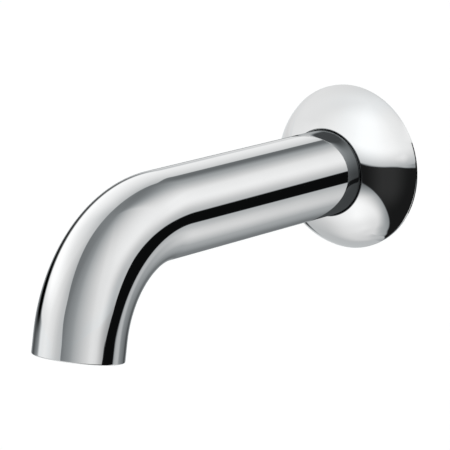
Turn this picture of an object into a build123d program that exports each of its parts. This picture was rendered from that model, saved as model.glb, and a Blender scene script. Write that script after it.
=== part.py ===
from build123d import *
import os
from math import cos, pi, radians, sin, sqrt

# A wall-mounted bath spout: a chromed tube, turned down at its end, that leaves a domed wall flange.
# Sizes are in millimetres and degrees. The wall is the plane Y = 0, the spout reaches out along -Y
# and Z is up. A station is a distance out from the wall, and a depth is a distance in from the lip.

# Spout tube
reach = 173.0               # wall to the centre of the outlet
tube_diameter = 35.0
tube_wall = 1.5
bend_radius = 45.5          # of the tube's centre line
bend_angle = 80.5           # turn from level down to the outlet
tip_length = 8.0            # straight run from the bend to the lip
tube_setback = 2.0          # wall to the tube's rear end
lip_round = 0.4

# Wall flange
flange_diameter = 68.0
flange_height = 17.0        # wall to the crown of the dome
dome_radius = 28.0          # of the dome's curved section
rim_land = 1.0              # upright edge that stands on the wall
flange_wall = 1.6
flange_clearance = 0.2      # between the flange's hole and the tube
crown_round = 0.5           # edge of the flange's hole
hub_length = 10.0           # sleeve behind the crown that guides the tube
hub_wall = 1.6              # left outside the grip ring's groove
foot_width = 4.6            # flat ring that stands on the wall

# Soft rings
grip_section = 2.5          # cord of the ring that holds the flange on the tube
spigot_section = 2.0        # cord of the two rings on the nipple
ring_squeeze = 0.15         # share of a cord's height taken up once it is fitted
ring_skin = 0.02            # between a fitted ring and the walls that press it
ring_corner = 0.5           # corners of a fitted ring, which keep clear of its groove's
groove_play = 0.25          # each side of a ring in its groove
wall_seal_width = 2.0
wall_seal_height = 2.0
wall_seal_play = 0.05       # each side of the wall seal in its groove

# Inlet nipple, and the socket brazed into the tube that slides over it
thread_diameter = 20.955    # outside thread of half an inch
thread_reach = 15.0         # how far the thread stands behind the wall
thread_chamfer = 1.0
relief_depth = 1.4          # groove where the thread runs out
relief_width = 2.0
shoulder_inset = 1.0        # tube's rear end to the nipple's shoulder
socket_wall = 3.95          # left outside the socket's bore
spigot_clearance = 0.1
spigot_chamfer = 1.0
water_bore = 13.0
key_width = 14.0            # hexagon for screwing the nipple in
key_depth = 12.0
ring_inset = 4.5            # front end of the spigot to its first ring
ring_pitch = 4.5
socket_lead_in = 1.2
socket_end_gap = 0.5        # front end of the spigot to the socket's stop
stop_width = 2.5
stop_length = 4.0
braze_gap = 0.05            # between the tube and what is brazed into it

# Grub screw, under the tube, that locks the spout on the nipple
grub_diameter = 6.0
grub_offset = 8.0           # crown of the flange to the screw
grub_to_spigot_end = 16.5
grub_inset = 0.5            # screw's head below the skin of the tube
grub_chamfer = 0.4
grub_point = 1.2            # cone at the point
grub_key_width = 3.0
grub_key_depth = 2.6
grub_groove_depth = 0.9     # locating groove round the nipple
grub_groove_play = 0.3
grub_seat_gap = 0.05        # point of the screw to the groove's floor
grub_hole_play = 0.2        # around the screw where it passes the tube
thread_play = 0.05          # between a thread and its tapped hole

# Outlet collar and the aerator that screws into it
outlet_recess = 2.0         # lip to the collar's face
collar_wall = 1.95          # left outside the aerator's thread
collar_relief = 0.95        # taken off where the collar runs into the bend
collar_land_end = 0.3       # from the end of the full collar to the bend
collar_stop_width = 2.5
collar_stop_height = 1.8
washer_height = 1.5
washer_play = 0.1
washer_overlap = 0.5        # how far the washer reaches past the collar's stop
housing_wall = 1.75
housing_lip_height = 1.2
housing_lip_width = 1.0
key_slot_count = 4
key_slot_width = 3.0
key_slot_depth = 1.2
insert_play = 0.1           # between the aerator's inserts and its housing
straightener_height = 5.0
cell_width = 2.1            # across the flats of a honeycomb cell
cell_wall = 0.5
insert_rim = 1.3            # solid border of each insert
jet_plate_height = 2.0
jet_diameter = 1.4
jet_pitch = 3.6
screen_height = 0.5
mesh_gap = 1.4              # opening of the strainer's weave
mesh_pitch = 2.1

# Shared radii and stations
tube_radius = tube_diameter / 2
bore_radius = tube_radius - tube_wall
brazed_radius = bore_radius - braze_gap
flange_radius = flange_diameter / 2
thread_radius = thread_diameter / 2
socket_radius = brazed_radius - socket_wall
spigot_radius = socket_radius - spigot_clearance
grub_radius = grub_diameter / 2
shoulder_station = tube_setback + shoulder_inset
grub_station = flange_height + grub_offset
spigot_end = grub_station + grub_to_spigot_end
stop_station = spigot_end + socket_end_gap
spigot_ring_stations = (spigot_end - ring_inset - ring_pitch, spigot_end - ring_inset)
grip_station = flange_height - hub_length / 2


def at(radius, station):
    """Point of a section that is turned about the inlet's axis."""
    return (radius, -station)


def pressed_height(section):
    """Height of a round cord once it is fitted."""
    return section * (1 - ring_squeeze)


def pressed_width(section):
    """Width of that cord, which keeps the area of its section."""
    height = pressed_height(section)
    return height + pi * (section**2 - height**2) / (4 * height)


def groove(floor_radius, top_radius, station, width):
    """Square section of a turned groove, between two radii and centred on a station."""
    with BuildSketch(Plane.XY) as section:
        with Locations(at((floor_radius + top_radius) / 2, station)):
            Rectangle(abs(top_radius - floor_radius), width)
    return section.sketch


def pressed_ring(inner_radius, section, station):
    """Ring of round cord, flattened between a groove's floor and the wall that it seals."""
    height = pressed_height(section) - 2 * ring_skin
    with BuildPart() as ring:
        with BuildSketch(Plane.XY) as cord:
            with Locations(at(inner_radius + ring_skin + height / 2, station)):
                Rectangle(height, pressed_width(section))
            chamfer(cord.vertices(), ring_corner)
        revolve(axis=Axis.Y)
    return ring.part


def honeycomb(pitch, limit):
    """Centres of a honeycomb that lie within a limit of its middle one."""
    steps = range(-int(limit / pitch) - 1, int(limit / pitch) + 2)
    centres = [((i + j / 2) * pitch, j * pitch * sqrt(3) / 2) for i in steps for j in steps]
    return [(x, y) for x, y in centres if x**2 + y**2 <= limit**2]


os.makedirs("parts", exist_ok=True)

# Spout tube: one drawn tube, straight, then bent down, then straight for a little way to the lip
turn = radians(bend_angle)
straight_end = reach - bend_radius * sin(turn) - tip_length * cos(turn)
with BuildLine(Plane.YZ) as spout_path:
    straight = Line((-tube_setback, 0), (-straight_end, 0))
    bend = JernArc(straight @ 1, (-1, 0), bend_radius, bend_angle)
    PolarLine(bend @ 1, tip_length, angle=180 + bend_angle)

outward = Vector(0, -cos(turn), -sin(turn))
outlet_drop = bend_radius * (1 - cos(turn)) + tip_length * sin(turn)
outlet_centre = Vector(0, -reach, -outlet_drop)
outlet_axis = Axis(outlet_centre, -outward)
outlet = Plane(outlet_centre, x_dir=(1, 0, 0), z_dir=-outward)
outlet_section = Plane(outlet_centre, x_dir=(1, 0, 0), z_dir=-outlet.y_dir)
grub_seat = Plane((0, -grub_station, 0), x_dir=(1, 0, 0), z_dir=(0, 0, -1))

with BuildPart() as spout_tube:
    with BuildSketch(Plane.XZ.offset(tube_setback)):
        Circle(tube_radius)
        Circle(bore_radius, mode=Mode.SUBTRACT)
    sweep(path=spout_path.line)
    lip_edges = faces().sort_by(outlet_axis)[0].edges()
    fillet(lip_edges, lip_round)
    with BuildSketch(grub_seat):
        Circle(grub_radius + grub_hole_play)
    extrude(amount=tube_radius, mode=Mode.SUBTRACT)
spout_tube.part.label = "spout_tube"
export_step(spout_tube.part, "parts/spout_tube.step")

# Wall flange: a turned dome, hollow behind, with a sleeve round the tube and a flat foot
hole_radius = tube_radius + flange_clearance
grip_floor = tube_radius + pressed_height(grip_section)
hub_radius = grip_floor + hub_wall
foot_radius = flange_radius - foot_width
seal_middle = flange_radius - foot_width / 2
rim_point = Vector(*at(flange_radius, rim_land))
crown_point = Vector(*at(hole_radius + crown_round, flange_height))
chord = crown_point - rim_point
to_centre = Vector(chord.Y, -chord.X).normalized() * sqrt(dome_radius**2 - (chord.length / 2)**2)
dome_centre = rim_point + chord * 0.5 + to_centre
inner_dome_radius = dome_radius - flange_wall


def under_dome(radius):
    """Point on the hollow side of the dome, at a radius from the axis."""
    fall = sqrt(inner_dome_radius**2 - (radius - dome_centre.X)**2)
    return (radius, dome_centre.Y - fall)


with BuildPart() as wall_flange:
    with BuildSketch(Plane.XY):
        with BuildLine():
            rim = Line(at(flange_radius, 0), rim_point)
            RadiusArc(rim_point, crown_point, dome_radius)
            RadiusArc(crown_point, at(hole_radius, flange_height - crown_round), crown_round)
            sleeve = Polyline(
                at(hole_radius, flange_height - crown_round),
                at(hole_radius, flange_height - hub_length),
                at(hub_radius, flange_height - hub_length),
                under_dome(hub_radius),
            )
            RadiusArc(sleeve @ 1, under_dome(foot_radius), -inner_dome_radius)
            Polyline(under_dome(foot_radius), at(foot_radius, 0), rim @ 0)
        make_face()
    revolve(axis=Axis.Y)
    grip_groove_width = pressed_width(grip_section) + 2 * groove_play
    grip_groove = groove(grip_floor, hole_radius, grip_station, grip_groove_width)
    revolve(grip_groove, axis=Axis.Y, mode=Mode.SUBTRACT)
    seal_reach = wall_seal_width / 2 + wall_seal_play
    seal_groove = groove(seal_middle - seal_reach, seal_middle + seal_reach, 0, 2 * wall_seal_height)
    revolve(seal_groove, axis=Axis.Y, mode=Mode.SUBTRACT)
wall_flange.part.label = "wall_flange"
export_step(wall_flange.part, "parts/wall_flange.step")

# Grip ring, in the flange's sleeve, that keeps the flange from sliding along the tube
grip_ring = pressed_ring(tube_radius, grip_section, grip_station)
grip_ring.label = "flange_grip_ring"
export_step(grip_ring, "parts/flange_grip_ring.step")

# Wall seal, pressed flush with the flange's foot by the wall
with BuildPart() as wall_seal:
    with BuildSketch(Plane.XY):
        with Locations(at(seal_middle, wall_seal_height / 2)):
            Rectangle(wall_seal_width, wall_seal_height)
    revolve(axis=Axis.Y)
wall_seal.part.label = "wall_seal"
export_step(wall_seal.part, "parts/wall_seal.step")

# Inlet nipple: thread, shoulder and spigot in one turned piece, with the water way through it
ring_floor = socket_radius - pressed_height(spigot_section)
grub_groove_floor = spigot_radius - grub_groove_depth
with BuildPart() as inlet_nipple:
    with BuildSketch(Plane.XY):
        with BuildLine():
            Polyline(
                at(water_bore / 2, -thread_reach),
                at(thread_radius - thread_chamfer, -thread_reach),
                at(thread_radius, thread_chamfer - thread_reach),
                at(thread_radius, shoulder_station),
                at(spigot_radius, shoulder_station),
                at(spigot_radius, spigot_end - spigot_chamfer),
                at(spigot_radius - spigot_chamfer, spigot_end),
                at(water_bore / 2, spigot_end),
                close=True,
            )
        make_face()
    revolve(axis=Axis.Y)
    relief_station = shoulder_station - relief_width / 2
    relief = groove(thread_radius - relief_depth, thread_radius, relief_station, relief_width)
    revolve(relief, axis=Axis.Y, mode=Mode.SUBTRACT)
    grub_groove_width = grub_diameter + 2 * grub_groove_play
    grub_groove = groove(grub_groove_floor, spigot_radius, grub_station, grub_groove_width)
    revolve(grub_groove, axis=Axis.Y, mode=Mode.SUBTRACT)
    ring_groove_width = pressed_width(spigot_section) + 2 * groove_play
    for station in spigot_ring_stations:
        ring_groove = groove(ring_floor, spigot_radius, station, ring_groove_width)
        revolve(ring_groove, axis=Axis.Y, mode=Mode.SUBTRACT)
    with BuildSketch(Plane.XZ.offset(spigot_end)):
        RegularPolygon(key_width / 2, 6, major_radius=False)
    extrude(amount=-key_depth, mode=Mode.SUBTRACT)
inlet_nipple.part.label = "inlet_nipple"
export_step(inlet_nipple.part, "parts/inlet_nipple.step")

# Rings on the spigot
for name, station in zip(("rear_o_ring", "front_o_ring"), spigot_ring_stations):
    o_ring = pressed_ring(ring_floor, spigot_section, station)
    o_ring.label = name
    export_step(o_ring, f"parts/{name}.step")

# Inlet socket: brazed into the rear of the tube, with a stop for the spigot and the grub screw's thread
with BuildPart() as inlet_socket:
    with BuildSketch(Plane.XY):
        with BuildLine():
            Polyline(
                at(brazed_radius, tube_setback),
                at(socket_radius + socket_lead_in, tube_setback),
                at(socket_radius, tube_setback + socket_lead_in),
                at(socket_radius, stop_station),
                at(socket_radius - stop_width, stop_station),
                at(socket_radius - stop_width, stop_station + stop_length),
                at(brazed_radius, stop_station + stop_length),
                close=True,
            )
        make_face()
    revolve(axis=Axis.Y)
    with BuildSketch(grub_seat):
        Circle(grub_radius + thread_play)
    extrude(amount=tube_radius, mode=Mode.SUBTRACT)
inlet_socket.part.label = "inlet_socket"
export_step(inlet_socket.part, "parts/inlet_socket.step")

# Grub screw, from its point in the nipple's groove to its head just inside the tube's skin
grub_tip = grub_groove_floor + grub_seat_gap
grub_head = tube_radius - grub_inset
with BuildPart() as grub_screw:
    with BuildSketch(grub_seat.offset(grub_tip)):
        Circle(grub_radius)
    extrude(amount=grub_head - grub_tip)
    ends = edges().filter_by(GeomType.CIRCLE).sort_by(Axis.Z)
    chamfer(ends[0], grub_chamfer)
    chamfer(ends[-1], grub_point)
    with BuildSketch(grub_seat.offset(grub_head)):
        RegularPolygon(grub_key_width / 2, 6, major_radius=False)
    extrude(amount=-grub_key_depth, mode=Mode.SUBTRACT)
grub_screw.part.label = "grub_screw"
export_step(grub_screw.part, "parts/grub_screw.step")

# Depths of the aerator's stack, from the collar's face inwards
straightener_depth = outlet_recess + housing_lip_height
jet_plate_depth = straightener_depth + straightener_height
screen_depth = jet_plate_depth + jet_plate_height
washer_depth = screen_depth + screen_height
collar_stop_depth = washer_depth + washer_height
collar_thread_radius = brazed_radius - collar_wall
collar_stop_radius = collar_thread_radius - collar_stop_width
housing_radius = collar_thread_radius - thread_play
housing_bore = housing_radius - housing_wall
insert_radius = housing_bore - insert_play
insert_open_radius = insert_radius - insert_rim

# Outlet collar: brazed into the tip of the tube, and slimmer where the tube starts to bend
with BuildPart() as outlet_collar:
    with BuildSketch(outlet_section):
        with BuildLine():
            Polyline(
                (brazed_radius, outlet_recess),
                (brazed_radius, tip_length - collar_land_end),
                (brazed_radius - collar_relief, tip_length - collar_land_end),
                (brazed_radius - collar_relief, collar_stop_depth + collar_stop_height),
                (collar_stop_radius, collar_stop_depth + collar_stop_height),
                (collar_stop_radius, collar_stop_depth),
                (collar_thread_radius, collar_stop_depth),
                (collar_thread_radius, outlet_recess),
                close=True,
            )
        make_face()
    revolve(axis=outlet_axis)
outlet_collar.part.label = "outlet_collar"
export_step(outlet_collar.part, "parts/outlet_collar.step")

# Aerator washer, between the housing and the collar's stop
with BuildPart() as aerator_washer:
    with BuildSketch(outlet.offset(washer_depth)):
        Circle(collar_thread_radius - washer_play)
        Circle(collar_stop_radius - washer_overlap, mode=Mode.SUBTRACT)
    extrude(amount=washer_height)
aerator_washer.part.label = "aerator_washer"
export_step(aerator_washer.part, "parts/aerator_washer.step")

# Aerator housing: a threaded cup with an inner lip, and slots in its face for a key
with BuildPart() as aerator_housing:
    with BuildSketch(outlet.offset(outlet_recess)):
        Circle(housing_radius)
        Circle(housing_bore - housing_lip_width, mode=Mode.SUBTRACT)
    extrude(amount=washer_depth - outlet_recess)
    with BuildSketch(outlet.offset(straightener_depth)):
        Circle(housing_bore)
    extrude(amount=washer_depth - straightener_depth, mode=Mode.SUBTRACT)
    with BuildSketch(outlet.offset(outlet_recess)):
        with PolarLocations(housing_radius, key_slot_count):
            Rectangle(2 * housing_wall, key_slot_width)
    extrude(amount=key_slot_depth, mode=Mode.SUBTRACT)
aerator_housing.part.label = "aerator_housing"
export_step(aerator_housing.part, "parts/aerator_housing.step")

# Flow straightener: a moulded honeycomb that rests on the housing's lip
cell_pitch = cell_width + cell_wall
with BuildPart() as flow_straightener:
    with BuildSketch(outlet.offset(straightener_depth)):
        Circle(insert_radius)
        with Locations(*honeycomb(cell_pitch, insert_open_radius - cell_width / sqrt(3))):
            RegularPolygon(cell_width / 2, 6, major_radius=False, rotation=30, mode=Mode.SUBTRACT)
    extrude(amount=straightener_height)
flow_straightener.part.label = "flow_straightener"
export_step(flow_straightener.part, "parts/flow_straightener.step")

# Jet plate: the drilled disc that breaks the water up
with BuildPart() as jet_plate:
    with BuildSketch(outlet.offset(jet_plate_depth)):
        Circle(insert_radius)
        with Locations(*honeycomb(jet_pitch, insert_open_radius - jet_diameter / 2)):
            Circle(jet_diameter / 2, mode=Mode.SUBTRACT)
    extrude(amount=jet_plate_height)
jet_plate.part.label = "jet_plate"
export_step(jet_plate.part, "parts/jet_plate.step")

# Strainer screen: woven wire over the jet plate, held by the washer
mesh_reach = insert_open_radius - mesh_gap / sqrt(2)
mesh_steps = range(-int(mesh_reach / mesh_pitch), int(mesh_reach / mesh_pitch) + 1)
mesh_gaps = [(i * mesh_pitch, j * mesh_pitch) for i in mesh_steps for j in mesh_steps]
with BuildPart() as strainer_screen:
    with BuildSketch(outlet.offset(screen_depth)):
        Circle(insert_radius)
        with Locations(*[(x, y) for x, y in mesh_gaps if x**2 + y**2 <= mesh_reach**2]):
            Rectangle(mesh_gap, mesh_gap, mode=Mode.SUBTRACT)
    extrude(amount=screen_height)
strainer_screen.part.label = "strainer_screen"
export_step(strainer_screen.part, "parts/strainer_screen.step")
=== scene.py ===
"""Looks of a wall-mounted bath spout: its pieces, their finishes, the studio around it and the camera.

Lengths are in metres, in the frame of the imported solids: the wall is the plane Y = 0, the spout reaches
out along -Y and Z is up. A station is a distance from the wall along the inlet's axis. A direction in the
studio is an azimuth, in degrees from straight in front of the spout towards its right side (+X), and an
elevation.
"""
import math

import bmesh
import bpy
from mathutils import Matrix, Vector


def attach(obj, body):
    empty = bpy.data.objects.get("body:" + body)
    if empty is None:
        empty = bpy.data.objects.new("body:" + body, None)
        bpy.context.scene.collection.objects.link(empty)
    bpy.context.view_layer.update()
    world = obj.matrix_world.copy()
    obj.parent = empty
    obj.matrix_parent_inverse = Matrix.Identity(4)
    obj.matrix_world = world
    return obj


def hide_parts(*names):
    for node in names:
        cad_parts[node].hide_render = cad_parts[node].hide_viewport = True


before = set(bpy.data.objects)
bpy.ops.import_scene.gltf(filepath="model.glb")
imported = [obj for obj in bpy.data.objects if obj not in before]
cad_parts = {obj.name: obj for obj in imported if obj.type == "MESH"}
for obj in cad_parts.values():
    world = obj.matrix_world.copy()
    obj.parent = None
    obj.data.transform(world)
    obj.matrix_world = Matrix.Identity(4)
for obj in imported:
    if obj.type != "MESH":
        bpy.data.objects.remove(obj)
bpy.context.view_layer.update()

MM = 0.001

# Spout tube, in millimetres
TUBE_RADIUS = 17.5
TUBE_WALL = 1.5
TUBE_SETBACK = 2.0              # wall to the tube's rear end
STRAIGHT_END = 126.804          # station where the bend starts
BEND_RADIUS = 45.5
BEND_ANGLE = 80.5
TIP_LENGTH = 8.0
LIP_ROUND = 0.4
REAR_ROUND = 0.12
TUBE_PACE = 2.0                 # length of the mesh's faces along the tube
TUBE_STEPS = 192                # and their number round it
GRUB_STATION = 25.0
GRUB_HOLE_RADIUS = 3.2

# Wall flange, in millimetres
FLANGE_RADIUS = 34.0
FLANGE_HEIGHT = 17.0
RIM_LAND = 1.0
DOME_RADIUS = 28.0
DOME_CENTRE = (7.859, -9.024)   # radius and station
DOME_STEPS = 72
FLANGE_WALL = 1.6
FLANGE_HOLE = 17.7
CROWN_ROUND = 0.5
CROWN_STEPS = 8
HUB_RADIUS = 21.225
HUB_END = 7.0                   # station of the sleeve's rear end
GRIP_GROOVE = (10.367, 13.633, 19.625)  # two stations and the radius of its floor
FOOT_RADIUS = 29.4
SEAL_GROOVE = (30.65, 32.75, 2.0)       # two radii and the station of its floor
EDGE_BREAK = 0.15
FLANGE_STEPS = 256

# Inlet nipple, in millimetres
THREAD_RADIUS = 10.4775
THREAD_DEPTH = 1.162
THREAD_PITCH = 1.814            # fourteen turns to the inch
THREAD_ENDS = (-15.0, 1.0)      # stations
THREAD_END_RADII = (9.2775, 9.0775)
THREAD_ROWS = 12                # rows of faces to a turn
SPIGOT_RADIUS = 11.9
SHOULDER = 3.0                  # station
GRUB_GROOVE = (21.7, 28.3, 11.0)        # two stations and the radius of its floor
RING_GROOVES = ((31.144, 33.856, 10.3), (35.644, 38.356, 10.3))
SPIGOT_END = 41.5
SPIGOT_CHAMFER = 1.0
WATER_BORE = 6.5
KEY_RADIUS = 7.0                # of the circle inside the key's hexagon
KEY_END = 29.5                  # station
NIPPLE_STEPS = 96

# Meshes
WELD_DISTANCE = 2e-7            # metres, along a piece's own seams
JOIN_DISTANCE = 1e-6            # metres, between parts that become one piece
CRISP_ANGLE = 32.0              # degrees past which an edge isn't shaded smooth
DRILL_STEPS = 48
EASED_WIDTH = 0.1               # millimetres, of the eased edges of copied solids
EASED_ANGLE = 40.0              # degrees past which such an edge is eased
EASED_SEGMENTS = 2

# Camera, as fitted to the photograph's outline
CAMERA_AZIMUTH = 37.209
CAMERA_ELEVATION = 12.365
CAMERA_ROLL = 0.565
CAMERA_DISTANCE = 1.16353
CAMERA_LENS = 232.84            # millimetres
CAMERA_SENSOR = 36.0            # millimetres wide
CAMERA_NEAR = 0.01
CAMERA_AIM = Vector((0.0, -0.0525, -0.0175))
CAMERA_ASIDE = -0.01909         # how far the view is shifted along the picture's width
CAMERA_ABOVE = 0.00130          # and along its height

# Studio: levels are what a white card would show, 1 being white. A slow change is given as the angle where
# it starts, the angle where it ends, and the two levels, or shares of a level, that it goes between.
FLOOR_DROP = 0.35               # metres from the spout's axis to the floor
FLOOR_SIDE = 12.0
FLOOR_PAINT = (0.8, 0.8, 0.8, 1.0)
FLOOR_LIFT = 0.5                # glow that keeps the floor white to the camera
LEFT_WALL = (                   # azimuth and level of the white left wall
    (-170.0, 0.63), (-150.0, 0.77), (-115.0, 0.88), (-60.0, 1.00), (-48.0, 1.01), (-30.0, 0.86),
    (-20.0, 0.72), (-10.0, 0.64), (0.0, 0.60),
)
LEFT_WALL_TOP = (80.0, 35.0, 0.72, 1.0)   # how it dims upwards
LEFT_WALL_DIP = 0.17            # and how much more high up in front
RIGHT_WALL = (                  # the same of the right wall, from the front round to the back
    (-180.0, 0.56), (-170.0, 0.18), (-155.0, 0.16), (-20.0, 0.20), (0.0, 0.257), (24.0, 0.465), (60.0, 0.85),
    (80.0, 0.98), (100.0, 1.05), (125.0, 1.06), (148.0, 1.08), (162.0, 0.93), (174.0, 0.69), (180.0, 0.56),
)
SIDE_HAZE = (32.0, 8.0, 0.0, 0.43)        # how it dims downwards at the side
BACK_HAZE = (24.0, 4.0, 0.0, 0.45)        # and behind
BOARD_DUSK = 0.45               # and how much more just above the board
CEILING_LEVELS = (0.305, 0.205)  # straight above the spout, in front and behind
BACK_FADE = (1.367, 7.2, -1.75)  # how soon and how fast the right wall darkens upwards behind
SEAM_LEAN = (-0.55, 0.45, 0.345, 0.195)   # of the seam between the left wall and the ceiling, front to back
SEAM_BACK_LEAN = (0.6, 0.8, 0.0, 0.275)   # what is added to it at the very back
SEAM_FRONT_SHIFT = (-0.86, -1.0, 0.0, 0.07)
SEAM_BLUR = 0.015
FLOOR_GLOW = (                  # azimuth and level of the floor, as the chrome shows it
    (-180.0, 0.45), (-168.0, 0.34), (-155.0, 0.25), (-130.0, 0.50), (-60.0, 0.80), (-10.0, 1.17),
    (20.0, 1.14), (60.0, 0.90), (100.0, 0.60), (145.0, 0.92), (158.0, 0.80), (172.0, 0.54), (180.0, 0.45),
)
FLOOR_FAR_OFF = (0.36, 0.61)    # share of that level far off, and there beside the board's end
FLOOR_STRIPS = (0.65, 0.60)     # what bright strips far off add, at the left behind and at the left
FLOOR_BELOW = (                 # azimuth and level of the floor just below the spout
    (-180.0, 0.60), (-150.0, 0.74), (-75.0, 0.90), (0.0, 1.00), (50.0, 0.90), (75.0, 0.86), (100.0, 0.86),
    (130.0, 0.92), (160.0, 1.00), (180.0, 1.00),
)
FLOOR_STRAIGHT_BELOW = 0.86
HORIZON_BLUR = 1.5              # degrees
BOARD_LEVEL = 0.0045            # dark board that stands low on the right
BOARD_TOP = (                   # azimuth and elevation of its upper edge
    (-10.0, 4.0), (12.0, 2.3), (44.0, 2.4), (68.0, 2.4), (84.0, 0.5), (97.0, -0.8), (108.0, -1.5),
    (111.0, 0.0), (113.0, 3.2), (116.0, 6.4), (119.0, 7.1), (123.0, 6.9), (128.0, 5.7), (133.0, 3.9),
    (139.0, 2.5), (144.0, 4.5), (150.0, 5.5), (180.0, 5.5),
)
BOARD_FOOT = (                  # the same of its lower edge, which the drawn curve passes close by
    (-20.0, -10.0), (-4.0, -12.8), (12.0, -16.4), (28.0, -23.7), (44.0, -35.9), (60.0, -50.4), (76.0, -60.2),
    (92.0, -66.1), (108.0, -69.7), (124.0, -71.4), (140.0, -72.2), (156.0, -71.9), (172.0, -67.8),
)
BOARD_BLURS = (0.8, 1.2)        # degrees, at the upper and the lower edge
BOARD_SHADE = (-4.0, 26.0, 0.38, 1.0)     # how the floor brightens away from the lower edge
BOARD_ENDS = (-6.0, 156.0)      # azimuths where it starts and ends
BOARD_CORNER = 132.0            # azimuth past which the floor shows under it
BOARD_BACK_FOOT = -13.6         # elevation of its lower edge there
BOARD_LOW_END = (-54.0, -50.0)  # elevations below which it goes on past its corner and end
BOARD_TAIL = (-67.0, 0.6)       # elevation of the lower edge straight behind, and its rise per degree
CORNER_DEPTH = 0.92             # share of light that the dark corner at the left takes
DOORWAY_CENTRE = (-113.0, 4.2)  # dark doorway at the left, behind
DOORWAY_SIZE = (31.0, 10.0)
DOORWAY_EDGE = (0.65, 1.12)     # where its soft edge starts and ends, in parts of its size
DOORWAY_TILT = 0.22
TWICE_RIGHT = (-4.0, 50.0, 0.08, 0.30)    # right wall where it is mirrored twice, upwards
TWICE_LEFT = (-4.0, 30.0, 0.16, 0.62)     # the same of the left wall
TWICE_BEHIND = 0.55             # how much brighter that is behind, and darker in front
TWICE_BELOW = 0.08
TWICE_ABOVE = 0.085
TWICE_BOARD = 0.88              # share of light that the board takes there
# Painted shade: a black card just behind the flange's rim, seen only in the chrome, stands for the shade
# where a wall would meet the rim
JOINT_ARC = (66, 122, 4)        # degrees round the rim, from its top towards the right, and the pace
JOINT_RADII = (34.05, 34.9)     # millimetres
JOINT_GAP = 0.05
PAINTED_JOINT_SHADE = (0.012, 0.012, 0.012, 1.0)
SHEET_STEPS = (64, 32)
SHEET_RADII = (300.0, 310.0)    # metres, so that the whole spout sees the same light
FRONT_FILL = (                  # azimuth and level that the front sheet brings the room up to
    (-150.0, 0.84), (-100.0, 0.95), (-50.0, 0.98), (0.0, 1.21), (25.0, 1.27), (50.0, 1.20), (75.0, 1.08),
    (110.0, 0.97), (160.0, 0.87),
)
FRONT_FILL_ABOVE = 1.02
FRONT_FILL_DUSK = (0.34, 0.88)  # share of it at the horizon, in front and at the left
FRONT_FILL_EDGE = (2.2, 3.8)    # elevations of the edge below which the board stays dark
BOARD_SHEEN = (0.012, 0.036)    # faint light on the board, at its ends and in its middle
LEFT_FLOOR_FILL = (-36.0, -14.0, 0.60, 0.80)
LAMP_HEADING = (-105.0, 24.0)   # soft lamp for the tube, at the left
LAMP_LEVEL = 0.34
TUBE_FILL_FOOT = (              # azimuth and elevation down to which the tube's sheet hides the board
    (-80.0, -16.0), (94.0, -14.0), (98.5, -9.4), (102.5, -8.4), (107.5, -5.4), (110.0, -3.5), (112.5, 2.5),
)
TUBE_FILL_DUSK = 0.28
WHITE = (1.0, 1.0, 1.0)
COOL_SHADE = (0.93, 0.995, 1.03)  # tint of the room's darker parts


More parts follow.
